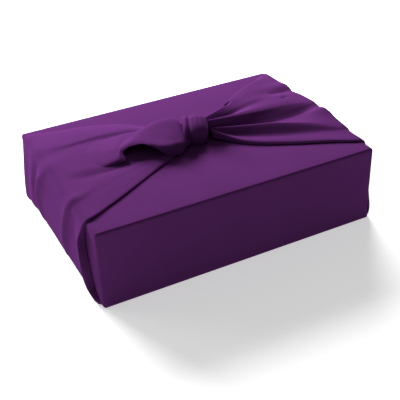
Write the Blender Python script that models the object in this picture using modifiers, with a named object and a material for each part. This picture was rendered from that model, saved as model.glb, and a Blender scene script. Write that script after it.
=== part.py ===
"""Furoshiki wrap: one square cloth folded and tied round a flat gift box.

The cloth is one hollow solid in metres, +Z up, standing on the middle of its base. The front is at -Y.
It is made of sheets that are joined into one: the wrapped body, the two side corners that climb the ends
and cross the top as folded wings, the knot, and the free tail that opens towards the front left.
"""

import math

import bmesh
import bpy
from mathutils import Vector

MM = 0.001

# Driving sizes
LENGTH = 300 * MM
WIDTH = 213 * MM
HEIGHT = 82.5 * MM
CLOTH = 1.2 * MM
LAYER_GAP = 0.5 * MM
EDGE_RADIUS = 3.5 * MM
EDGE_FACETS = 3

# The first row of a wing turns in under the end of the body by this share of the cloth's thickness.
FOOT_SHARE = 0.75

# The front flap ends at the back edge of the top, over the back flap that runs under it. The slit
# between them lies a share of the cloth's thickness below the top.
SEAM_MARGIN = 15 * MM
SEAM_REACH = 8 * MM
SEAM_DEPTH_SHARE = 0.9
UNDER_FLAP_WIDTH = 250 * MM
UNDER_FLAP_REACH = 120 * MM
UNDER_FLAP_POINT_WIDTH = 31 * MM

# Steps of the wings and of the tail
STEPS_ALONG = 30
STEPS_PER_FOLD = 3
TAIL_STEPS_ALONG = 14
TAIL_STEPS_ROUND = 14
KNOT_STEPS_ROUND = 20

# A wing is measured along its middle, from the base up the end face and over the top towards the knot.
# Heights are above the base, and the stations on the top are distances from the middle of the wrap (mm).
FACE_STATIONS = (2, 28, 60, 82.5)
LEFT_TOP_STATIONS = (118, 80, 45, 6)
RIGHT_TOP_STATIONS = (118, 80, 45, 15)

# Folds of each wing from front to back (mm). At each station: the place of the fold across the wrap
# (across), and how far it stands off the body (lift).
# Columns: base, low, high, edge, outer, middle, inner, throat.
LEFT_FOLDS = (
    {"fold": "front hem line", "across": (-100, -82, -77, -83, -68.5, -49, -34.5, -9),
     "lift": (0, 0, 0, 0, 0, 0, 0, 5)},
    {"fold": "front edge", "across": (-99, -80.5, -79.5, -81.5, -66, -46, -32.5, -7),
     "lift": (0, 6.5, 7, 3.2, 2.8, 3, 3.4, 8)},
    {"fold": "front dip", "across": (-62, -55, -56, -64, -49, -34, -24, -5),
     "lift": (0, 1.6, 1.4, 1.2, 1.2, 1.6, 2.2, 8)},
    {"fold": "second ridge", "across": (-14, -20, -34, -46, -34, -24, -15, -3),
     "lift": (0, 4.2, 4.6, 4, 2.2, 2, 2.2, 9)},
    {"fold": "middle dip", "across": (26, 22, 2, -12, -10, -7, 0, 0),
     "lift": (0, 0.8, 1.2, 1.4, 1.2, 1.1, 1.6, 9)},
    {"fold": "first ridge", "across": (59, 60, 43, 23, 33, 33, 26, 5),
     "lift": (0, 3.8, 4.6, 4.2, 4.4, 4, 3, 10)},
    {"fold": "back hollow", "across": (76, 71, 56, 42, 50, 47.5, 38, 8),
     "lift": (0, 1, 1, 1.4, 0.9, 0.9, 1.8, 9)},
    {"fold": "back swell", "across": (89, 82, 70, 58, 58, 54.5, 44, 10),
     "lift": (0, 3, 2.8, 2.4, 2.4, 2.4, 2.4, 9)},
    {"fold": "back hem line", "across": (103, 96.5, 85, 74, 67, 61, 48, 13),
     "lift": (0, 0, 0, 0, 0, 0, 0, 5)},
)
RIGHT_FOLDS = (
    {"fold": "front hem line", "across": (-103, -100, -95.5, -90.5, -79, -60, -38.5, -11),
     "lift": (0, 0, 0, 0, 0, 0, 0, 4)},
    {"fold": "front roll", "across": (-101.5, -97.5, -93, -88, -75, -55.5, -34, -8),
     "lift": (0, 3.6, 4.4, 2.6, 4.3, 6.4, 7.6, 9)},
    {"fold": "front valley", "across": (-80, -75, -70, -66, -50, -31, -14, -3),
     "lift": (0, 0.8, 1, 1, 1.2, 1.6, 2.4, 6)},
    {"fold": "front ridge", "across": (-54, -53, -52, -50, -35.5, -20.5, -7, -1),
     "lift": (0, 3, 3.6, 4, 6, 6.6, 7.2, 9)},
    {"fold": "swell", "across": (-20, -19, -18, -18, -19, -12, -3.4, 1),
     "lift": (0, 2.4, 4, 6.4, 4.8, 4.2, 5.4, 8)},
    {"fold": "deep valley", "across": (-5, -5, -5, -4.5, -9.5, -6.5, -0.6, 2),
     "lift": (0, 1, 2, 3.6, 2.8, 2.6, 4.4, 8)},
    {"fold": "middle ridge edge", "across": (7, 6, 5, 2.5, 3, 4.5, 3, 3.6),
     "lift": (0, 2, 3, 4.8, 7.4, 10.6, 11.8, 12.4)},
    {"fold": "middle ridge", "across": (24, 24, 24, 22, 20, 13.5, 7.5, 5.2),
     "lift": (0, 2.6, 3.4, 4.2, 9, 12.6, 13.6, 13.4)},
    {"fold": "hollow", "across": (50, 49, 48, 45, 43, 34, 19.5, 8.6),
     "lift": (0, 0.8, 1, 1, 3.6, 7.2, 9, 11.6)},
    {"fold": "back ridge front", "across": (62, 61, 60, 57, 52, 43, 25, 10),
     "lift": (0, 1.4, 1.8, 2.6, 5.2, 8.4, 11, 12.6)},
    {"fold": "back ridge", "across": (96, 95, 94, 88, 75, 53.5, 28, 12),
     "lift": (0, 1.4, 1.6, 1.4, 5.4, 9, 12.4, 13)},
    {"fold": "back hem line", "across": (103, 103, 102.5, 100, 82.5, 59.5, 32.5, 15),
     "lift": (0, 0, 0, 0, 0, 0, 0, 4)},
)

# The free tail, from its open hem to the knot (mm): both feet and the crown, each as x, y and height
# over the top.
TAIL_SECTIONS = (
    {"back_foot": (-77, 0, 2.5), "crown": (-62.5, -12, 20), "front_foot": (-43, -33.5, 1)},
    {"back_foot": (-84, 13, 3), "crown": (-60, 0, 20.5), "front_foot": (-36, -29.5, 1)},
    {"back_foot": (-85, 30, 3), "crown": (-53, 11, 20.5), "front_foot": (-27, -22.5, 1)},
    {"back_foot": (-66, 40, 3), "crown": (-38, 15, 21), "front_foot": (-19, -17, 1)},
    {"back_foot": (-34, 36, 3), "crown": (-20, 11, 20.5), "front_foot": (-12, -13, 2)},
    {"back_foot": (-4, 16, 5), "crown": (-3, 4, 17), "front_foot": (-4, -9, 5)},
)

# The knot, from left to right (mm): its middle and half width across the wrap, and its height over the top.
KNOT_SECTIONS = (
    {"x": -10.5, "middle": 1, "half_width": 5, "low": 5, "high": 13},
    {"x": -9.5, "middle": 1.5, "half_width": 12, "low": 2, "high": 19},
    {"x": -5, "middle": 2, "half_width": 14.5, "low": 1, "high": 22},
    {"x": 3, "middle": 2.5, "half_width": 16, "low": 0.8, "high": 23.5},
    {"x": 12, "middle": 3, "half_width": 15, "low": 1, "high": 22},
    {"x": 20, "middle": 3, "half_width": 11.5, "low": 2, "high": 18.5},
    {"x": 24, "middle": 3, "half_width": 5, "low": 5, "high": 14},
)

CLOTH_COLOUR = (0.075, 0.012, 0.16, 1.0)
CLOTH_ROUGHNESS = 0.75


def clear_scene():
    for obj in list(bpy.data.objects):
        bpy.data.objects.remove(obj, do_unlink=True)


def new_collection(name):
    collection = bpy.data.collections.new(name)
    bpy.context.scene.collection.children.link(collection)
    return collection


def cloth_material():
    material = bpy.data.materials.new("plain_purple_cloth")
    material.use_nodes = True
    shader = material.node_tree.nodes["Principled BSDF"]
    shader.inputs["Base Color"].default_value = CLOTH_COLOUR
    shader.inputs["Roughness"].default_value = CLOTH_ROUGHNESS
    shader.inputs["Metallic"].default_value = 0.0
    return material


def mesh_object(name, bm, collection):
    mesh = bpy.data.meshes.new(name)
    bmesh.ops.recalc_face_normals(bm, faces=bm.faces)
    bm.to_mesh(mesh)
    bm.free()
    obj = bpy.data.objects.new(name, mesh)
    collection.objects.link(obj)
    return obj


def grid(rows, closed=False):
    """A surface through rows of points; closed joins the end of each row to its start and caps both ends."""
    bm = bmesh.new()
    verts = [[bm.verts.new(point) for point in row] for row in rows]
    count = len(verts[0])
    spans = count if closed else count - 1
    for row, following in zip(verts, verts[1:]):
        for i in range(spans):
            j = (i + 1) % count
            bm.faces.new((row[i], row[j], following[j], following[i]))
    if closed:
        bm.faces.new(verts[0])
        bm.faces.new(verts[-1])
    return bm


def give_thickness(obj, offset=0.0):
    solidify = obj.modifiers.new("cloth", "SOLIDIFY")
    solidify.thickness = CLOTH
    solidify.offset = offset
    return obj


def along_curve(stations, values, place):
    """Cubic curve through the values at the stations, read at one place."""
    last = len(stations) - 1
    i = max(k for k in range(last) if stations[k] <= place or k == 0)

    def slope(k):
        low, high = max(k - 1, 0), min(k + 1, last)
        return (values[high] - values[low]) / (stations[high] - stations[low])

    span = stations[i + 1] - stations[i]
    t = (place - stations[i]) / span
    rise = (2 * t**3 - 3 * t**2 + 1) * values[i] + (3 * t**2 - 2 * t**3) * values[i + 1]
    return rise + span * ((t**3 - 2 * t**2 + t) * slope(i) + (t**3 - t**2) * slope(i + 1))


def end_path(girth):
    """Point and outward direction (x outwards, z up), a girth up the body's end face and over its top."""
    turn_start = HEIGHT - EDGE_RADIUS
    if girth < turn_start:
        return Vector((LENGTH / 2, girth)), Vector((1, 0))
    if girth > HEIGHT + EDGE_RADIUS:
        return Vector((LENGTH / 2 - (girth - HEIGHT), HEIGHT)), Vector((0, 1))
    turn = (girth - turn_start) / (2 * EDGE_RADIUS) * math.pi / 2
    outward = Vector((math.cos(turn), math.sin(turn)))
    middle = Vector((LENGTH / 2 - EDGE_RADIUS, turn_start))
    return middle + outward * EDGE_RADIUS, outward


def wing(name, side, folds, top_stations, collection):
    """One side corner of the cloth: side is -1 on the left and 1 on the right."""
    top_girths = [HEIGHT / MM + LENGTH / MM / 2 - x for x in top_stations]
    stations = list(FACE_STATIONS) + top_girths
    last = (len(folds) - 1) * STEPS_PER_FOLD
    clearance = LAYER_GAP + CLOTH / 2
    rows = []
    for step in range(STEPS_ALONG + 1):
        girth = stations[0] + (stations[-1] - stations[0]) * step / STEPS_ALONG
        across = [along_curve(stations, fold["across"], girth) for fold in folds]
        lift = [along_curve(stations, fold["lift"], girth) for fold in folds]
        middle, outward = end_path(girth * MM)
        row = []
        for i in range(last + 1):
            fold, part = divmod(i, STEPS_PER_FOLD)
            following = min(fold + 1, len(folds) - 1)
            t = part / STEPS_PER_FOLD
            blend = (1 - math.cos(math.pi * t)) / 2
            y = across[fold] + (across[following] - across[fold]) * t
            height = max(lift[fold] + (lift[following] - lift[fold]) * blend, 0)
            place = middle + outward * (clearance + height * MM)
            row.append((side * place.x, y * MM, place.y))
        rows.append(row)
    foot = [(side * (LENGTH / 2 - EDGE_RADIUS), y, CLOTH * FOOT_SHARE) for _, y, _ in rows[0]]
    return give_thickness(mesh_object(name, grid([foot] + rows), collection))


def over_top(point):
    return Vector((point[0] * MM, point[1] * MM, HEIGHT + point[2] * MM))


def free_tail(name, collection):
    """The hood of cloth that leaves the knot to the left, open at its hem."""
    count = len(TAIL_SECTIONS) - 1
    stations = list(range(count + 1))
    rows = []
    for step in range(TAIL_STEPS_ALONG + 1):
        place = count * step / TAIL_STEPS_ALONG
        back, crown, front = (
            Vector([along_curve(stations, [s[key][axis] for s in TAIL_SECTIONS], place) for axis in range(3)])
            for key in ("back_foot", "crown", "front_foot")
        )
        middle = (back + front) / 2
        row = []
        for i in range(TAIL_STEPS_ROUND + 1):
            angle = math.pi * i / TAIL_STEPS_ROUND
            point = middle + (back - middle) * math.cos(angle) + (crown - middle) * math.sin(angle)
            row.append(over_top(point))
        rows.append(row)
    return give_thickness(mesh_object(name, grid(rows), collection))


def knot(name, collection):
    """The tight band of the knot, closed at both ends."""
    rows = []
    for section in KNOT_SECTIONS:
        middle_height = (section["low"] + section["high"]) / 2
        half_height = (section["high"] - section["low"]) / 2
        row = []
        for i in range(KNOT_STEPS_ROUND):
            angle = 2 * math.pi * i / KNOT_STEPS_ROUND
            y = section["middle"] + section["half_width"] * math.cos(angle)
            z = middle_height + half_height * math.sin(angle)
            row.append(over_top((section["x"], y, z)))
        rows.append(row)
    return mesh_object(name, grid(rows, closed=True), collection)


def under_flap(name, collection):
    """The point of the back flap, flat under the top."""
    z = HEIGHT - CLOTH - LAYER_GAP - CLOTH / 2
    back = WIDTH / 2 - CLOTH / 2
    front = back - UNDER_FLAP_REACH
    wide, narrow = UNDER_FLAP_WIDTH / 2, UNDER_FLAP_POINT_WIDTH / 2
    rows = [[(-wide, back, z), (wide, back, z)], [(-narrow, front, z), (narrow, front, z)]]
    return give_thickness(mesh_object(name, grid(rows), collection))


def seam_cutter(name, collection):
    """The slit under the end of the front flap, along the back edge of the top."""
    bm = bmesh.new()
    bmesh.ops.create_cube(bm, size=1)
    size = (LENGTH - 2 * SEAM_MARGIN, 2 * SEAM_REACH, LAYER_GAP)
    bmesh.ops.scale(bm, vec=size, verts=bm.verts)
    lift = HEIGHT - SEAM_DEPTH_SHARE * CLOTH - LAYER_GAP / 2
    bmesh.ops.translate(bm, vec=(0, WIDTH / 2, lift), verts=bm.verts)
    return mesh_object(name, bm, collection)


def body(name, collection):
    """The cloth round the box: base, front, back, top and the corners turned on to the ends."""
    bm = bmesh.new()
    bmesh.ops.create_cube(bm, size=1)
    bmesh.ops.scale(bm, vec=(LENGTH, WIDTH, HEIGHT), verts=bm.verts)
    bmesh.ops.translate(bm, vec=(0, 0, HEIGHT / 2), verts=bm.verts)
    bmesh.ops.bevel(bm, geom=bm.edges, offset=EDGE_RADIUS, segments=EDGE_FACETS, profile=0.5, affect="EDGES")
    return give_thickness(mesh_object(name, bm, collection), offset=-1.0)


def boolean(obj, other, operation):
    modifier = obj.modifiers.new(other.name, "BOOLEAN")
    modifier.object = other
    modifier.operation = operation
    modifier.solver = "EXACT"


def furoshiki():
    clear_scene()
    parts = new_collection("furoshiki_wrap")
    tools = new_collection("joined_sheets")
    cloth = body("furoshiki_cloth", parts)
    boolean(cloth, seam_cutter("front_flap_seam", tools), "DIFFERENCE")
    sheets = (
        under_flap("under_flap", tools),
        wing("left_wing", -1, LEFT_FOLDS, LEFT_TOP_STATIONS, tools),
        wing("right_wing", 1, RIGHT_FOLDS, RIGHT_TOP_STATIONS, tools),
        free_tail("free_tail", tools),
        knot("knot", tools),
    )
    for sheet in sheets:
        boolean(cloth, sheet, "UNION")
    for obj in tools.objects:
        obj.hide_render = True
        obj.display_type = "WIRE"
    cloth.data.materials.append(cloth_material())


furoshiki()
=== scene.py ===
import math

import bmesh
import bpy
import numpy as np
from mathutils import Matrix, Vector


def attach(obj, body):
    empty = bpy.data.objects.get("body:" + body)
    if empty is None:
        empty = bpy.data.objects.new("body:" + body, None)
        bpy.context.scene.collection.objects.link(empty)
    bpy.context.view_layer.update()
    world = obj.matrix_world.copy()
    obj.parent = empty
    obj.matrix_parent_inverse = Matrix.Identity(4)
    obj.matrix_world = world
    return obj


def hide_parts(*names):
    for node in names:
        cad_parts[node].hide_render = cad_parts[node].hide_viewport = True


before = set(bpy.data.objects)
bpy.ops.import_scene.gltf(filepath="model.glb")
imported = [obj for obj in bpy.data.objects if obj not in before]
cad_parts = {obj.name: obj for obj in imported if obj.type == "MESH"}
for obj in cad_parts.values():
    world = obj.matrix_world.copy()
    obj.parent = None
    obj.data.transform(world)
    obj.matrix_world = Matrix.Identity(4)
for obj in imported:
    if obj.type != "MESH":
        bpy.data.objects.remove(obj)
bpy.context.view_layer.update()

mm = 0.001

# the whole wrap, in mm: X runs along the box and Y to its back
wrap = {
    "length": 300.0,
    "width": 213.0,
    "height": 82.5,
    "edgeRadius": 3.0,
    "cloth": 0.7,         # thickness of the woven cloth
    "flatSide": 700.0,    # the square that the maker cut
}


def hermite(knots, values, tangent, at):
    # cubic pieces through the values, with the given slopes at the knots
    level = (1,) * (values.ndim - 1)
    i = np.clip(np.searchsorted(knots, at, side="right") - 1, 0, len(knots) - 2)
    span = (knots[i + 1] - knots[i]).reshape(-1, *level)
    t = ((at - knots[i]) / (knots[i + 1] - knots[i])).reshape(-1, *level)
    return ((2 * t**3 - 3 * t**2 + 1) * values[i] + (3 * t**2 - 2 * t**3) * values[i + 1]
            + span * ((t**3 - 2 * t**2 + t) * tangent[i] + (t**3 - t**2) * tangent[i + 1]))


def smoothThrough(knots, values, at):
    # a curve with level crests and dips, never past the values it runs through
    knots, values, at = (np.asarray(a, float) for a in (knots, values, at))
    step = np.diff(knots).reshape(-1, *(1,) * (values.ndim - 1))
    slope = np.diff(values, axis=0) / step
    product = slope[:-1] * slope[1:]
    total = slope[:-1] + slope[1:]
    tangent = np.zeros_like(values)
    tangent[1:-1] = np.where(product > 0, 2 * product / np.where(total == 0, 1, total), 0)
    tangent[0], tangent[-1] = slope[0], slope[-1]
    return hermite(knots, values, tangent, at)


def freeThrough(knots, values, at):
    # a rounder curve, for places and outlines
    knots, values, at = (np.asarray(a, float) for a in (knots, values, at))
    return hermite(knots, values, np.gradient(values, knots, axis=0), at)


def smoothMax(a, b, reach):
    near = np.clip(reach - np.abs(a - b), 0, None)
    return np.maximum(a, b) + near**2 / (4 * reach)


def gaussian(distance, width):
    return np.exp(-(distance / width) ** 2)


def addObject(name, data):
    obj = bpy.data.objects.new(name, data)
    bpy.context.scene.collection.objects.link(obj)
    return obj


def sheetObject(name, points, flat, closed=False):
    # a grid of points (mm) as one sheet; flat holds each point's place on the flat cloth (mm)
    rows, cols = points.shape[:2]
    index = np.arange(rows * cols).reshape(rows, cols)
    if closed:
        index = np.concatenate([index, index[:, :1]], 1)
    quads = np.stack([index[:-1, :-1], index[:-1, 1:], index[1:, 1:], index[1:, :-1]], -1).reshape(-1, 4)
    mesh = bpy.data.meshes.new(name)
    mesh.from_pydata((points.reshape(-1, 3) * mm).tolist(), [], quads.tolist())
    layer = mesh.uv_layers.new(name="clothPlan")
    corner = np.empty(len(mesh.loops), int)
    mesh.loops.foreach_get("vertex_index", corner)
    layer.data.foreach_set("uv", (flat.reshape(-1, 2)[corner] * mm).ravel())
    return addObject(name, mesh)


# the body: the cloth round the box, pressed and a little uneven, sizes in mm
body = {
    "cell": 8.0,
    "edgeCuts": 4,            # finer steps round each edge
    "unevenness": 0.35,
    "wave": 120.0,            # length of the longest waves
    "waveCount": 5,
    "waveSpread": (0.7, 1.5),
    "waveShorter": 0.8,       # from one wave to the next
    "waveLower": 0.75,
    "waveSum": 3.0,           # brings all waves together to about 1
    "seed": 3,
    "faceShift": (31, 17),    # so that no two faces have the same waves
    "calmRim": 14.0,          # the waves die away this near to an edge
    "spread": 2.6,            # the front and back walls come out by this at the floor
    "spreadHeight": 18.0,
    "weld": 0.02,             # points of neighbouring faces closer than this become one
}


def softWaves(x, y):
    # slow unevenness of cloth that was pressed and lies on a box
    state = np.random.default_rng(body["seed"])
    total = np.zeros_like(x)
    for octave in range(body["waveCount"]):
        angle, phase = state.uniform(0, 2 * math.pi, 2)
        length = body["wave"] * state.uniform(*body["waveSpread"]) * body["waveShorter"] ** octave
        reading = (x * math.cos(angle) + y * math.sin(angle)) * 2 * math.pi / length + phase
        total += np.sin(reading) * body["waveLower"] ** octave
    return total / body["waveSum"]


def roundedBox(points):
    half = np.array([wrap["length"] / 2, wrap["width"] / 2, wrap["height"] / 2])
    radius = wrap["edgeRadius"]
    middle = np.array([0, 0, wrap["height"] / 2])
    inner = np.clip(points - middle, -(half - radius), half - radius)
    offset = points - middle - inner
    length = np.linalg.norm(offset, axis=-1, keepdims=True)
    outward = offset / np.maximum(length, 1e-9)
    return inner + middle + outward * radius, outward


def edgeSteps(half):
    # even steps with finer ones round the edges
    radius = wrap["edgeRadius"]
    count = max(int(2 * (half - radius) / body["cell"]), 4)
    middle = np.linspace(-(half - radius), half - radius, count)
    turn = radius * np.tan(np.linspace(0, math.pi / 4, body["edgeCuts"] + 1))[1:]
    return np.concatenate([-(half - radius) - turn[::-1], middle, half - radius + turn])


def makeBody():
    half = (wrap["length"] / 2, wrap["width"] / 2, wrap["height"] / 2)
    steps = [edgeSteps(h) for h in half]
    axisShift, signShift = body["faceShift"]
    bm = bmesh.new()
    plan = bm.loops.layers.uv.new("clothPlan")
    for axis in range(3):
        a, b = [i for i in range(3) if i != axis]
        for sign in (-1, 1):
            u, v = np.meshgrid(steps[a], steps[b], indexing="ij")
            points = np.zeros((*u.shape, 3))
            points[..., a], points[..., b], points[..., axis] = u, v, sign * half[axis]
            points[..., 2] += half[2]
            placed, outward = roundedBox(points)
            if axis != 2 or sign > 0:    # the underside stays flat
                flatness = np.abs(outward[..., axis]) ** 4
                rim = (np.clip((half[a] - np.abs(u)) / body["calmRim"], 0, 1)
                       * np.clip((half[b] - np.abs(v)) / body["calmRim"], 0, 1))
                uneven = softWaves(u + axisShift * axis, v + signShift * sign) * body["unevenness"]
                placed = placed + outward * (uneven * rim * flatness)[..., None]
            low = np.clip(1 - placed[..., 2] / body["spreadHeight"], 0, 1) ** 2
            placed[..., 1] *= 1 + low * body["spread"] / half[1]
            verts = [[bm.verts.new(p * mm) for p in row] for row in placed]
            fold = wrap["height"] if axis != 2 else 0
            for i in range(len(verts) - 1):
                for j in range(len(verts[0]) - 1):
                    corners = [(i, j), (i + 1, j), (i + 1, j + 1), (i, j + 1)]
                    face = bm.faces.new([verts[p][q] for p, q in corners])
                    for loop, (p, q) in zip(face.loops, corners):
                        loop[plan].uv = (u[p, q] * mm, (v[p, q] + fold) * mm)
    bmesh.ops.remove_doubles(bm, verts=bm.verts, dist=body["weld"] * mm)
    bmesh.ops.recalc_face_normals(bm, faces=bm.faces)
    mesh = bpy.data.meshes.new("wrappedBody")
    bm.to_mesh(mesh)
    bm.free()
    return addObject("wrappedBody", mesh)


# the wings, sizes in mm: girth runs up the end face and over the top towards the knot
wingCloth = {
    "outerLift": 1.25,        # middle of the outer layer over the box where it lies flat
    "innerLift": 0.45,        # the same for the layer turned under it
    "innerShare": 0.45,       # the inner layer follows the folds at this share of their height
    "returnShare": 0.45,      # and runs back under this share of the wing's width
    "returnSteps": 8,
    "turnSteps": 5,           # points round the turned edge, its ends included
    "lowest": 0.4,            # over the floor
    "creaseGrowth": 12.0,     # creases reach their depth this far past the edge of the top
    "creaseRunOut": 0.25,     # a crease dies away over this share of its length, past each end
    "creaseSoftening": 0.35,  # and grows shallower by this share on its way
    "planMiddle": 300.0,      # from the flat cloth's middle to the hem at the front
}

leftWing = {
    "girths": (-3, 0, 12, 28, 60, 82.5, 114.5, 152.5, 187.5, 226.5),
    "along": 100,
    "perFold": 6,
    "edgeRadius": 6.0,
    "folds": (
        # across: place from front to back, lift: height off the box, at each girth
        {"fold": "front hem", "across": (-101, -101, -88, -82, -77, -83, -68.5, -47.5, -28.5, -9),
         "lift": (0, 0, 0, 0, 0, 0, 0, 0, 0, 4)},
        {"fold": "front wall", "across": (-100.8, -100.6, -87.6, -81.7, -78.5, -83.4, -68, -47, -28.2, -8.5),
         "lift": (0.1, 0.8, 3, 4, 4, 1, 0.1, 0.1, 0.3, 5)},
        {"fold": "front edge", "across": (-100.2, -99.6, -85.6, -80.5, -80, -82, -66, -44.8, -26.6, -7),
         "lift": (0.2, 1.4, 5.6, 7, 7.4, 1.6, 0.4, 0.4, 0.8, 7)},
        {"fold": "inside edge", "across": (-95, -94, -80, -75, -75, -77, -61, -41, -24.2, -6.5),
         "lift": (0.1, 1.1, 4.8, 6, 6.2, 1.4, 0.5, 0.5, 1, 7)},
        {"fold": "front dip", "across": (-62, -62, -58, -55, -56, -64, -49, -34, -20.5, -5),
         "lift": (0, 0.4, 1.4, 1.8, 1.6, 1, 0.7, 0.7, 1.2, 8)},
        {"fold": "second ridge foot", "across": (-23, -23, -25, -28, -43, -55, -42, -28, -17, -4),
         "lift": (0, 0.2, 0.8, 1.2, 1.2, 1.2, 0.6, 0.6, 1.1, 8.5)},
        {"fold": "second ridge", "across": (-14, -14, -17, -20, -34, -46, -34, -24, -13.8, -3),
         "lift": (0, 0.4, 2.6, 4.2, 4.6, 3.2, 0.8, 0.7, 1.1, 9)},
        {"fold": "second ridge back", "across": (-6, -6, -8, -11, -25, -36, -24, -19, -10.6, -2),
         "lift": (0, 0.3, 1.8, 2.8, 3, 2.2, 0.5, 0.4, 1.1, 9)},
        {"fold": "middle dip", "across": (26, 26, 26, 22, 2, -12, -15, -14, -5, 0),
         "lift": (0, 0.2, 0.8, 1.2, 1.6, 1.6, -0.2, -0.1, 1.4, 9)},
        {"fold": "first ridge foot", "across": (48, 48, 49, 50, 32, 8, -1, 0, 5, 3),
         "lift": (0, 0.2, 0.8, 1.2, 1.4, 1.8, 1.7, 2, 2.4, 9.5)},
        {"fold": "first ridge", "across": (58, 58, 60, 61, 43, 23, 30, 30, 24, 5),
         "lift": (0, 0.4, 2.4, 4, 4.8, 2.8, 1.5, 1.8, 2.6, 10)},
        {"fold": "back hollow", "across": (74, 74, 73, 71, 56, 42, 46, 46, 38, 8),
         "lift": (0, 0.1, 0.8, 1, 1, 1.4, 0.8, 1.1, 2, 9)},
        {"fold": "back swell", "across": (86, 86, 84, 80, 68, 58, 54, 54, 46, 10),
         "lift": (0, 0.5, 2.8, 3.2, 3, 2, 1.9, 2.4, 2.8, 9)},
        {"fold": "back slope", "across": (96, 96, 94, 90, 82, 76, 73, 71, 58, 12),
         "lift": (0, 0.4, 3, 2.4, 1.2, 0.7, 0.8, 0.9, 1.1, 6)},
        {"fold": "corner swell", "across": (103, 103, 102, 101, 97, 93, 86, 80, 65, 15),
         "lift": (0, 1.4, 4.4, 3.8, 1.4, 0, -0.4, -0.4, -0.4, 2)},
        {"fold": "back hem", "across": (106, 106, 106, 106, 105.5, 103, 96, 86, 68, 18),
         "lift": (-0.6, -0.6, -0.4, -0.6, -1.6, -2, -2.2, -2.2, -2.2, -2)},
    ),
    "creases": (),
}

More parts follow.
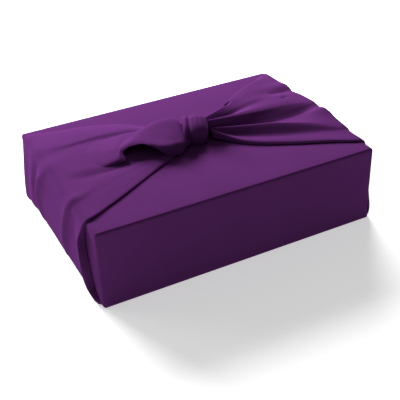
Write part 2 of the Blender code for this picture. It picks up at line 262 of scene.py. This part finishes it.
rightWing = {
    "girths": (-3, 0, 28, 60, 82.5, 114.5, 152.5, 187.5, 214),
    "along": 96,
    "perFold": 5,
    "edgeRadius": 3.2,
    "folds": (
        {"fold": "front hem", "across": (-101, -103.5, -100, -95.5, -90, -74, -56, -35.5, -9),
         "lift": (0, 0, 0, 0, 0, 0, 0, 0, 3)},
        {"fold": "roll foot", "across": (-100.9, -103.2, -99.6, -95, -89.6, -73.4, -55.4, -35, -8.6),
         "lift": (0, 0.3, 2, 2.3, 0.2, 0.3, 0.3, 0.5, 4)},
        {"fold": "roll side", "across": (-100.3, -102.5, -98.6, -94, -89, -72.4, -54.2, -33.8, -7.6),
         "lift": (0, 0.4, 3.4, 4, 0.6, 0.9, 1, 1.6, 7)},
        {"fold": "front roll", "across": (-99, -101, -96.5, -92, -87, -70, -51.4, -31, -6),
         "lift": (0, 0.3, 3.8, 4.6, 0.9, 1.2, 1.4, 2.3, 9)},
        {"fold": "roll back", "across": (-96.5, -98, -92.5, -88, -83, -66, -47.6, -27.6, -4.6),
         "lift": (0, 0.2, 2.8, 3.2, 0.8, 1.1, 1.3, 2.1, 8.4)},
        {"fold": "roll drop", "across": (-94, -94, -88, -84, -78, -61, -43.4, -24, -3.6),
         "lift": (0, 0.1, 1.2, 1.4, 0.6, 0.8, 0.9, 1.6, 7)},
        {"fold": "front valley", "across": (-78, -80, -76, -72, -71, -56, -39.6, -20.6, -2.4),
         "lift": (0, 0.1, 0.6, 0.7, 0.5, 0.5, 0.5, 1.1, 5.6)},
        {"fold": "front ridge foot", "across": (-64, -66, -65, -63, -65, -51.6, -35.8, -17.6, -1),
         "lift": (0, 0.2, 1.2, 1.4, 0.6, 0.8, 0.9, 1.6, 5.8)},
        {"fold": "front ridge edge", "across": (-58, -60, -58, -56, -58, -42.5, -25, -11.6, -0.2),
         "lift": (0, 0.3, 2.2, 2.6, 2.2, 4.6, 6.8, 7, 8)},
        {"fold": "front ridge", "across": (-52, -52, -51, -49, -50, -38.5, -22, -9.6, 0.6),
         "lift": (0, 0.4, 3, 3.6, 2.8, 5.4, 7.8, 7.9, 8.4)},
        {"fold": "front ridge back", "across": (-40, -40, -39, -37, -34, -29, -18, -7, 1.2),
         "lift": (0, 0.3, 2.2, 3.2, 4, 4, 5.2, 5.4, 7.4)},
        {"fold": "swell", "across": (-20, -20, -19, -19, -19, -19.5, -14.8, -4.8, 1.8),
         "lift": (0, 0.4, 2.4, 4, 6.2, 2.4, 3, 3.8, 6.8)},
        {"fold": "deep valley", "across": (-6, -6, -6, -6, -9, -13, -12.2, -3.2, 2.6),
         "lift": (0, 0.2, 1, 2, 3.8, 1.6, 2.4, 3.4, 6.8)},
        {"fold": "middle ridge foot", "across": (-1, -1, -1, -1, -5, -9.5, -9.4, -1.8, 3),
         "lift": (0, 0.2, 1.2, 2.4, 3.9, 2.6, 3.4, 5, 9)},
        {"fold": "middle ridge side", "across": (4, 4, 4, 4, -0.5, -1.5, -1.6, 0.4, 3.8),
         "lift": (0, 0.3, 1.8, 3, 4.6, 6.4, 7.8, 9.6, 11.6)},
        {"fold": "middle ridge edge", "across": (9, 9, 9, 8, 3, 4.6, 3, 2.6, 4.8),
         "lift": (0, 0.3, 2.2, 3.2, 4.8, 8.4, 10.8, 12.4, 13.2)},
        {"fold": "middle ridge", "across": (16, 16, 16, 15, 10, 10.5, 8, 5.4, 6),
         "lift": (0, 0.4, 2.4, 3.2, 4.5, 8.8, 11.5, 13.2, 14)},
        {"fold": "middle ridge back", "across": (24, 24, 24, 23, 19, 17.5, 13.6, 8.8, 7.2),
         "lift": (0, 0.3, 2, 2.8, 3.8, 8.4, 10.6, 10.8, 13)},
        {"fold": "hollow", "across": (34, 34, 33, 32, 30, 27, 20, 12.6, 8.6),
         "lift": (0, 0.2, 1.2, 1.8, 2.8, 7.8, 9.6, 7.4, 11)},
        {"fold": "plateau", "across": (42, 42, 41, 40, 38, 35.5, 27, 16.8, 10),
         "lift": (0, 0.2, 0.9, 1, 1.4, 6.4, 10.8, 10, 12)},
        {"fold": "dimple", "across": (50, 50, 49, 48, 45, 42, 35, 20.5, 11.3),
         "lift": (0, 0.2, 0.8, 0.8, 0.8, 5.8, 11, 12, 13)},
        {"fold": "back ridge front", "across": (62, 62, 61, 60, 57, 53, 41.5, 22.6, 12.1),
         "lift": (0, 0.3, 1.6, 2, 3, 6.6, 11.2, 12.8, 13.4)},
        {"fold": "back ridge shoulder", "across": (78, 78, 77, 76, 72, 65, 46.5, 24, 12.7),
         "lift": (0, 0.2, 1, 1.2, 1.4, 6.2, 11, 13, 13.5)},
        {"fold": "back ridge", "across": (96, 96, 95, 94, 88, 75.5, 51, 25.6, 13.2),
         "lift": (0, 0.3, 1.4, 1.4, 1, 5.8, 10.4, 12.8, 13.5)},
        {"fold": "back wall", "across": (101, 102, 102, 101.5, 98, 79.5, 54, 27.4, 13.8),
         "lift": (0, 0.1, 0.6, 0.6, 0.4, 2.6, 5.4, 7.4, 8)},
        {"fold": "back hem", "across": (101.5, 103, 103.5, 103, 100, 81, 55.2, 28.4, 14.6),
         "lift": (0, 0, 0, 0, 0, 0, 0, 0, 4)},
    ),
    # start and end are x and y on the top, in mm, and a depth below 0 is a trough
    "creases": (
        {"fold": "pit behind the knot", "start": (54, 29.5), "end": (62, 33.5), "width": 1.7, "depth": -2.7},
        {"fold": "pit at the dimple", "start": (122, 20.5), "end": (131, 24.5), "width": 1.7, "depth": -2.1},
        {"fold": "dimple", "start": (120, 39), "end": (150, 45), "width": 3.4, "depth": -1.3},
    ),
}


def endPath(girth, edgeRadius):
    # place and outward direction, up the end face and over the edge
    half, top, r = wrap["length"] / 2, wrap["height"], edgeRadius
    upper = np.clip((girth - (top - r)) / (2 * r), 0, 1) * math.pi / 2
    lower = np.clip((r - girth) / (2 * r), 0, 1) * math.pi / 2
    turn = upper - lower
    out = np.stack([np.cos(turn), np.sin(turn)], -1)
    x = half - r + r * out[:, 0] - np.clip(girth - (top + r), 0, None) - np.clip(-r - girth, 0, None)
    z = np.where(girth > r, np.clip(girth, r, top - r), r) + r * out[:, 1]
    return np.stack([x, z], -1), out


def creaseField(x, y, creases):
    # short soft troughs and ridges along straight runs
    total = np.zeros_like(x)
    for crease in creases:
        (x0, y0), (x1, y1) = crease["start"], crease["end"]
        dx, dy = x1 - x0, y1 - y0
        length = math.hypot(dx, dy)
        along = ((x - x0) * dx + (y - y0) * dy) / length
        aside = ((x - x0) * dy - (y - y0) * dx) / length
        inside = np.clip(1 + np.minimum(along, length - along) / (wingCloth["creaseRunOut"] * length), 0, 1)
        softer = 1 - wingCloth["creaseSoftening"] * np.clip(along / length, 0, 1)
        total += crease["depth"] * gaussian(aside, crease["width"]) * (1 - np.cos(inside * math.pi / 2)) * softer**2
    return total


def wingSurface(wing, girth):
    # rows run along the girth, columns from the front hem to the back hem
    across = freeThrough(wing["girths"], np.array([f["across"] for f in wing["folds"]], float).T, girth)
    lift = smoothThrough(wing["girths"], np.array([f["lift"] for f in wing["folds"]], float).T, girth)
    count = len(wing["folds"])
    at = np.linspace(0, count - 1, (count - 1) * wing["perFold"] + 1)
    return smoothThrough(range(count), across.T, at).T, smoothThrough(range(count), lift.T, at).T


def returnLayer(y, height, start):
    # the cloth turns under at the wing's edge and runs back below it, low under its folds
    span = y[:, -1:] - y[:, :1]
    inward = np.linspace(0, wingCloth["returnShare"], wingCloth["returnSteps"])[None] * span
    back = y[:, :1] + inward if start == 0 else y[:, -1:] - inward
    low = np.array([np.interp(b, a, h) for b, a, h in zip(back, y, height)])
    low = wingCloth["innerLift"] + np.where(low > 0, wingCloth["innerShare"] * low, low)
    turn = np.linspace(0, math.pi, wingCloth["turnSteps"])[None, 1:-1]
    radius = (wingCloth["outerLift"] - wingCloth["innerLift"]) / 2
    away = -1 if start == 0 else 1
    turnY = y[:, [start]] + away * radius * np.sin(turn)
    turnHeight = wingCloth["innerLift"] + radius + radius * np.cos(turn) + height[:, [start]]
    return np.concatenate([turnY, back], 1), np.concatenate([turnHeight, low], 1)


def makeWing(name, side, wing):
    girths = np.linspace(wing["girths"][0], wing["girths"][-1], wing["along"])
    y, height = wingSurface(wing, girths)
    frontY, frontHeight = returnLayer(y, height, 0)
    backY, backHeight = returnLayer(y, height, -1)
    y = np.concatenate([frontY[:, ::-1], y, backY], 1)
    lift = np.concatenate([frontHeight[:, ::-1], height + wingCloth["outerLift"], backHeight], 1)
    middle, out = endPath(girths, wing["edgeRadius"])
    x = middle[:, 0][:, None] + out[:, 0][:, None] * lift
    z = np.clip(middle[:, 1][:, None] + out[:, 1][:, None] * lift, wingCloth["lowest"], None)
    over = np.clip((girths - wrap["height"]) / wingCloth["creaseGrowth"], 0, 1)[:, None]
    z = z + creaseField(side * x, y, wing["creases"]) * over
    points = np.stack([side * x, y, z], -1)
    plan = np.cumsum(np.concatenate([[[0]], np.abs(np.diff(y[:1]))], 1), 1) - wingCloth["planMiddle"]
    flat = np.stack(np.broadcast_arrays(side * (girths[:, None] + wrap["length"] / 2), plan), -1)
    return sheetObject(name, points, flat)


def wingTop(wing, side, x, y):
    # height of the wing's middle surface over the top, 0 beside it
    girth = wrap["height"] + wrap["length"] / 2 - side * x
    across, height = wingSurface(wing, girth.ravel())
    found = np.array([np.interp(v, a, h, left=-1, right=-1) for v, a, h in zip(y.ravel(), across, height)])
    return np.where(found < 0, 0, found + wingCloth["outerLift"]).reshape(x.shape)


# the far flap lies under the top and its corner goes down inside the front
underFlap = {
    "inset": 1.4,             # mm, inside the outer cloth
    "sideGap": 1.0,           # mm more at its two sides
    "along": 24,
    "across": 20,
}


def makeUnderFlap():
    inset = underFlap["inset"]
    run = wrap["width"] - 2 * inset
    reach = (wrap["flatSide"] * math.sqrt(2) - wrap["width"] - 2 * wrap["height"]) / 2
    girth = np.linspace(0, run + wrap["height"] - 2 * inset, underFlap["along"])
    halfWidth = np.minimum(wrap["length"] / 2 - inset - underFlap["sideGap"], reach - girth)
    y = wrap["width"] / 2 - inset - np.clip(girth, 0, run)
    z = wrap["height"] - inset - np.clip(girth - run, 0, None)
    x = np.linspace(-1, 1, underFlap["across"])[None] * halfWidth[:, None]
    points = np.stack(np.broadcast_arrays(x, y[:, None], z[:, None]), -1)
    flat = np.stack(np.broadcast_arrays(x, girth[:, None]), -1)
    return sheetObject("underFlap", points, flat)


# the free tail, open towards the front left
tail = {
    "along": 84,
    "across": 54,
    "blend": 5.0,             # mm, how softly it runs out on the wing
    "sink": 0.6,              # mm, below the wing's surface there
    "planStretch": (1.2, 1.3),
    "planShift": -60.0,
    # each row runs from the far left to the knot: x, y and height over the top, in mm
    "rows": (
        {"row": "hem", "points": ((-136, -14, -10), (-124, -8, -6), (-112.8, -2, -3), (-102.5, -8, -0.8),
                                  (-93.9, -9.1, 1), (-86.3, -9.4, 2.8), (-78.3, -9.6, 4.8), (-76.8, -0.1, 8),
                                  (-70.4, 1, 12), (-58.2, -2.3, 14), (-52.6, -9.1, 14), (-47.5, -14.2, 11.6),
                                  (-42, -18.3, 7.5), (-38, -20.8, 3), (-30.8, -21.9, 2.6), (-22.9, -21.7, 3),
                                  (-8, -8, 5))},
        {"row": "lip", "points": ((-133, -2, -9), (-121, 3, -4), (-109.8, 7.9, 0.2), (-99.8, -3.4, 2.8),
                                  (-93.1, -5.5, 4.4), (-86.9, -6.1, 5.8), (-80.6, -4, 7.2), (-76.8, 2.6, 9.6),
                                  (-69.4, 4, 13.2), (-56.4, 1.6, 15), (-51, -6.3, 15.2), (-46, -13.1, 14.6),
                                  (-41, -18.3, 14), (-35.2, -20.8, 13), (-27.7, -19.9, 12), (-18.6, -17.4, 10.4),
                                  (-7.4, -6, 8.5))},
        {"row": "crown", "points": ((-129, 9, -8), (-118, 12, -3), (-106, 17.3, 1.6), (-95.8, 10.4, 4.4),
                                    (-86.7, 6, 6.6), (-79, 5.9, 8.2), (-79.3, 4.3, 9.4), (-73.2, 8.5, 11.6),
                                    (-65.6, 7.6, 14), (-52.9, 7.8, 15.6), (-46.8, 2.1, 16), (-41, -3.2, 15.8),
                                    (-35.3, -7.4, 15.6), (-29.8, -9.8, 15.2), (-23.5, -11.4, 14.2), (-15, -10.6, 12.6),
                                    (-6, -4, 11.5))},
        {"row": "shoulder", "points": ((-125, 20, -7), (-113.6, 24, -2), (-102, 27.5, 2), (-91.7, 20.6, 4.6),
                                       (-82.2, 16.6, 7), (-74, 17, 9), (-66.5, 19, 10.6), (-62.6, 16, 12.6),
                                       (-56, 14.9, 14.8), (-48.7, 13.7, 16.2), (-40.9, 12.3, 17), (-33.7, 10.9, 17.4),
                                       (-27, 8.2, 17.4), (-21.6, 5.8, 17), (-15.9, 3.3, 16), (-10.4, -0.9, 13.6),
                                       (-4, -1, 12.6))},
        {"row": "crest", "points": ((-121, 31, -6), (-109.6, 35, -2), (-97, 40, 0.4), (-84.4, 38, 2.6),
                                    (-73.4, 37, 5.4), (-67, 33.2, 8.4), (-60.3, 29.6, 10.8), (-57.6, 24.8, 12.6),
                                    (-52.3, 20.7, 14.6), (-44, 21.5, 16.4), (-35.5, 22.7, 17.6), (-27, 23.5, 18.4),
                                    (-19.6, 22.7, 18.6), (-13.3, 21.4, 18.2), (-8.6, 17, 16.8), (-5.8, 10.4, 14),
                                    (-2, 3, 13))},
        {"row": "flank", "points": ((-117, 40, -6), (-105.6, 41, -3), (-95, 44, -0.6), (-83, 41, 1.6),
                                    (-72, 39.8, 3.8), (-65.6, 36, 6.4), (-58.8, 32.6, 8.8), (-55.4, 29, 10.6),
                                    (-49.6, 26.6, 12.6), (-41, 28, 13.8), (-32.8, 29, 14.8), (-24, 29.8, 15.6),
                                    (-16.6, 29, 15.8), (-11, 27, 15.4), (-6.2, 22.4, 13.6), (-3.6, 14.4, 12),
                                    (-1, 8, 11))},
        {"row": "back hem", "points": ((-114, 45, -7), (-103, 46, -5), (-93, 48, -4), (-81, 45.4, -2),
                                       (-70, 44.4, -1), (-63.4, 41.6, 0), (-55.6, 39.4, 0.4), (-51, 38.6, 0.4),
                                       (-44.8, 37.4, 0.6), (-36.6, 38, 0.6), (-28.4, 39, 0.6), (-20, 39.6, 0.6),
                                       (-12.4, 38.6, 0.8), (-7, 35.4, 1), (-2.6, 29.4, 1.4), (-1, 20, 3),
                                       (0, 12, 7))},
    ),
}


def makeTail():
    net = np.array([row["points"] for row in tail["rows"]], float)
    rows, stations = (np.arange(count) for count in net.shape[:2])
    lines = freeThrough(stations, net.transpose(1, 0, 2), np.linspace(0, stations[-1], tail["along"]))
    points = freeThrough(rows, lines.transpose(1, 0, 2), np.linspace(0, rows[-1], tail["across"])).transpose(1, 0, 2)
    under = wingTop(leftWing, -1, points[..., 0], points[..., 1])
    points[..., 2] = smoothMax(points[..., 2], under - tail["sink"], tail["blend"]) + wrap["height"]
    flat = points[..., :2] * tail["planStretch"] + (tail["planShift"], 0)
    return sheetObject("freeTail", points, flat)


# the knot: a band wound once round the gathered corners
knot = {
    "middle": (5.2, 3.6, 8.2),   # mm, height over the top
    "turn": -24.0,               # degrees, the band crosses the wrap a little askew
    "lean": 10.0,                # degrees, its top falls towards the front
    "squash": 0.76,
    "boxy": 0.72,                # 1 is round, less is squarer
    "around": 80,
    "steps": 60,
    "lowest": 0.6,               # mm over the top
    "creaseDepth": 0.2,
    "creaseAngle": 1.2,          # radians round the band
    "creaseWidth": 2.2 / 6,
    "creaseRate": 1.3,
    # along the knot's own axis: place and radius
    "rings": (
        (-9.6, 8), (-11.6, 11), (-12.2, 14), (-11.4, 16), (-9.8, 16.6), (-8.2, 15.8), (-7.2, 14.6),
        (-6, 15.2), (-3.6, 16.8), (0, 17.4), (4, 17), (8, 15.8), (11, 13.4), (12.6, 10.4), (12.6, 7),
    ),
}


def makeKnot():
    rings = np.array(knot["rings"], float)
    stations = np.arange(len(rings))
    profile = freeThrough(stations, rings, np.linspace(0, stations[-1], knot["steps"]))
    angle = np.linspace(0, 2 * math.pi, knot["around"], endpoint=False)[None]
    along, radius = profile[:, :1], profile[:, 1:]
    aside = np.abs(np.sin((angle - knot["creaseAngle"]) / 2))
    radius = radius + knot["creaseDepth"] * gaussian(aside, knot["creaseWidth"]) * np.sin(along * knot["creaseRate"])
    level, rise = (np.sign(part) * np.abs(part) ** knot["boxy"] * radius for part in (np.cos(angle), np.sin(angle)))
    rise = rise * knot["squash"]
    lean, turn = math.radians(knot["lean"]), math.radians(knot["turn"])
    sideways = level * math.cos(lean) - rise * math.sin(lean)
    rise = rise * math.cos(lean) + level * math.sin(lean)
    x = along * math.cos(turn) - sideways * math.sin(turn) + knot["middle"][0]
    y = along * math.sin(turn) + sideways * math.cos(turn) + knot["middle"][1]
    z = np.clip(rise + knot["middle"][2], knot["lowest"], None) + wrap["height"]
    flat = np.stack(np.broadcast_arrays(along, radius * angle), -1)
    return sheetObject("knotBand", np.stack([x, y, z], -1), flat, closed=True)


class Wire:
    # one socket of a shader tree; sums and products of wires add Math nodes
    def __init__(self, tree, socket):
        self.tree = tree
        self.socket = socket

    def math(self, operation, *others):
        node = self.tree.nodes.new("ShaderNodeMath")
        node.operation = operation
        for entry, value in zip(node.inputs, (self, *others)):
            if isinstance(value, Wire):
                self.tree.links.new(value.socket, entry)
            else:
                entry.default_value = value
        return Wire(self.tree, node.outputs[0])

    def __add__(self, other): return self.math("ADD", other)
    def __radd__(self, other): return self.math("ADD", other)
    def __mul__(self, other): return self.math("MULTIPLY", other)
    def __rmul__(self, other): return self.math("MULTIPLY", other)


class ShaderBench:
    def __init__(self, name):
        self.material = bpy.data.materials.new(name)
        self.material.use_nodes = True
        self.tree = self.material.node_tree
        self.shader = self.tree.nodes["Principled BSDF"]

    def node(self, kind, settings=None, sockets=None, output=0):
        node = self.tree.nodes.new(kind)
        for key, value in (settings or {}).items():
            setattr(node, key, value)
        for key, value in (sockets or {}).items():
            if isinstance(value, Wire):
                self.tree.links.new(value.socket, node.inputs[key])
            else:
                node.inputs[key].default_value = value
        return Wire(self.tree, node.outputs[output])

    def feed(self, entry, wire):
        self.tree.links.new(wire.socket, self.shader.inputs[entry])


clothLook = {
    "deep": (0.0815, 0.0192, 0.1035, 1),
    "bright": (0.1035, 0.0243, 0.1300, 1),
    "mottle": 26.0,           # patches a metre
    "slub": 420.0,            # thicker stretches of thread a metre
    "threads": 1500.0,        # threads a metre
    "bias": 45.0,             # degrees, the square lies corner to corner
    "tone": {"mottle": 0.55, "slub": 0.3, "weave": 0.15},
    "relief": {"weave": 0.7, "slub": 0.5},
    "weaveDepth": 0.00012,
    "bump": 0.5,
    "roughness": 0.74,
    "slubRoughness": 0.12,
    "gloss": 0.0,             # a matt, dry cloth
}


def makeClothMaterial():
    bench = ShaderBench("purpleCloth")
    plan = bench.node("ShaderNodeUVMap", {"uv_map": "clothPlan"})
    turned = bench.node("ShaderNodeMapping", sockets={
        "Vector": plan, "Rotation": (0, 0, math.radians(clothLook["bias"])), "Scale": (clothLook["threads"],) * 3})
    warp, weft = ((bench.node("ShaderNodeSeparateXYZ", sockets={0: turned}, output=side) * math.pi).math("SINE")
                  for side in (0, 1))
    weave = warp * weft * 0.5 + 0.5
    place = bench.node("ShaderNodeTexCoord", output=3)
    mottle = bench.node("ShaderNodeTexNoise", sockets={"Vector": place, "Scale": clothLook["mottle"], "Detail": 3.0})
    slub = bench.node("ShaderNodeTexNoise", sockets={"Vector": place, "Scale": clothLook["slub"], "Detail": 2.0})
    share = clothLook["tone"]
    tone = mottle * share["mottle"] + slub * share["slub"] + weave * share["weave"]
    bench.feed("Base Color", bench.node("ShaderNodeMix", {"data_type": "RGBA"}, {
        0: tone, 6: clothLook["deep"], 7: clothLook["bright"]}, output=2))
    bench.feed("Roughness", slub * clothLook["slubRoughness"] + clothLook["roughness"])
    height = weave * clothLook["relief"]["weave"] + slub * clothLook["relief"]["slub"]
    bench.feed("Normal", bench.node("ShaderNodeBump", sockets={
        "Height": height, "Distance": clothLook["weaveDepth"], "Strength": clothLook["bump"]}))
    bench.shader.inputs["Specular IOR Level"].default_value = clothLook["gloss"]
    return bench.material


def finishCloth(objects, material):
    # every fold of the one cloth gets its thickness, then the folds become one piece
    meshes = []
    for obj in objects:
        thick = obj.modifiers.new("thickness", "SOLIDIFY")
        thick.thickness = wrap["cloth"] * mm
        thick.offset = -1 if obj.name == "wrappedBody" else 0
        graph = bpy.context.evaluated_depsgraph_get()
        meshes.append(bpy.data.meshes.new_from_object(obj.evaluated_get(graph)))
    bm = bmesh.new()
    for mesh in meshes:
        bm.from_mesh(mesh)
    whole = bpy.data.meshes.new("furoshikiCloth")
    bm.to_mesh(whole)
    bm.free()
    for obj in objects:
        bpy.data.objects.remove(obj, do_unlink=True)
    for mesh in meshes:
        bpy.data.meshes.remove(mesh)
    whole.materials.append(material)
    whole.shade_smooth()
    return addObject("furoshikiCloth", whole)


purpleCloth = makeClothMaterial()
folds = [makeBody(), makeWing("leftWing", -1, leftWing), makeWing("rightWing", 1, rightWing),
         makeUnderFlap(), makeTail(), makeKnot()]
print("folds made")
cloth = finishCloth(folds, purpleCloth)
print("cloth", len(cloth.data.polygons), "faces")
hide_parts("furoshiki_cloth")
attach(cloth, "root")


studio = {
    "target": (-0.0159, -0.0444, 0.04),
    "azimuth": -26.668,
    "elevation": 33.31,
    "roll": -1.8476,
    "distance": 0.828,
    "lens": 73.7,
    "sensor": 36.0,
    "lights": (
        {"light": "key", "place": (-0.35, 0.95, 0.60), "power": 24.6},
        {"light": "backRight", "place": (0.60, 0.85, 0.60), "power": 17.0},
        {"light": "side", "place": (-0.80, 0.60, 0.30), "power": 2.4},
    ),
    "lightSize": 0.45,
    "lightAim": (0, 0, 0.05),
    "air": 0.16,
    "floorHalf": 6.0,
    "floorTone": 0.8,
    "floorRoughness": 0.9,
    "floorGlow": 0.50,        # the floor is lit from all round, as a studio sweep is
}


def makeCamera():
    a, e, r = (math.radians(studio[k]) for k in ("azimuth", "elevation", "roll"))
    back = Vector((math.sin(a) * math.cos(e), -math.cos(a) * math.cos(e), math.sin(e)))
    right = Vector((0, 0, 1)).cross(back).normalized()
    up = back.cross(right)
    level, rise = math.cos(r) * right + math.sin(r) * up, -math.sin(r) * right + math.cos(r) * up
    data = bpy.data.cameras.new("camera")
    data.lens = studio["lens"]
    data.sensor_width = studio["sensor"]
    camera = addObject("camera", data)
    camera.matrix_world = Matrix.Translation(Vector(studio["target"]) + back * studio["distance"]) @ Matrix(
        (level, rise, back)).transposed().to_4x4()
    bpy.context.scene.camera = camera


def makeLight(row):
    data = bpy.data.lights.new(row["light"], "AREA")
    data.shape = "DISK"
    data.size = studio["lightSize"]
    data.energy = row["power"]
    lamp = addObject(row["light"], data)
    lamp.location = row["place"]
    lamp.rotation_euler = (Vector(studio["lightAim"]) - Vector(row["place"])).to_track_quat("-Z", "Y").to_euler()


def makeFloor():
    half = studio["floorHalf"]
    mesh = bpy.data.meshes.new("floor")
    mesh.from_pydata([(-half, -half, 0), (half, -half, 0), (half, half, 0), (-half, half, 0)], [], [(0, 1, 2, 3)])
    bench = ShaderBench("paleFloor")
    bench.shader.inputs["Base Color"].default_value = (*(studio["floorTone"],) * 3, 1)
    bench.shader.inputs["Roughness"].default_value = studio["floorRoughness"]
    bench.shader.inputs["Emission Color"].default_value = (1, 1, 1, 1)
    bench.shader.inputs["Emission Strength"].default_value = studio["floorGlow"]
    mesh.materials.append(bench.material)
    floor = addObject("floor", mesh)


def makeAir():
    world = bpy.data.worlds.new("studioAir")
    world.use_nodes = True
    background = world.node_tree.nodes["Background"]
    background.inputs["Color"].default_value = (1, 1, 1, 1)
    background.inputs["Strength"].default_value = studio["air"]
    bpy.context.scene.world = world
    bpy.context.scene.view_settings.view_transform = "Standard"


makeCamera()
makeFloor()
for row in studio["lights"]:
    makeLight(row)
makeAir()
print("studio set")
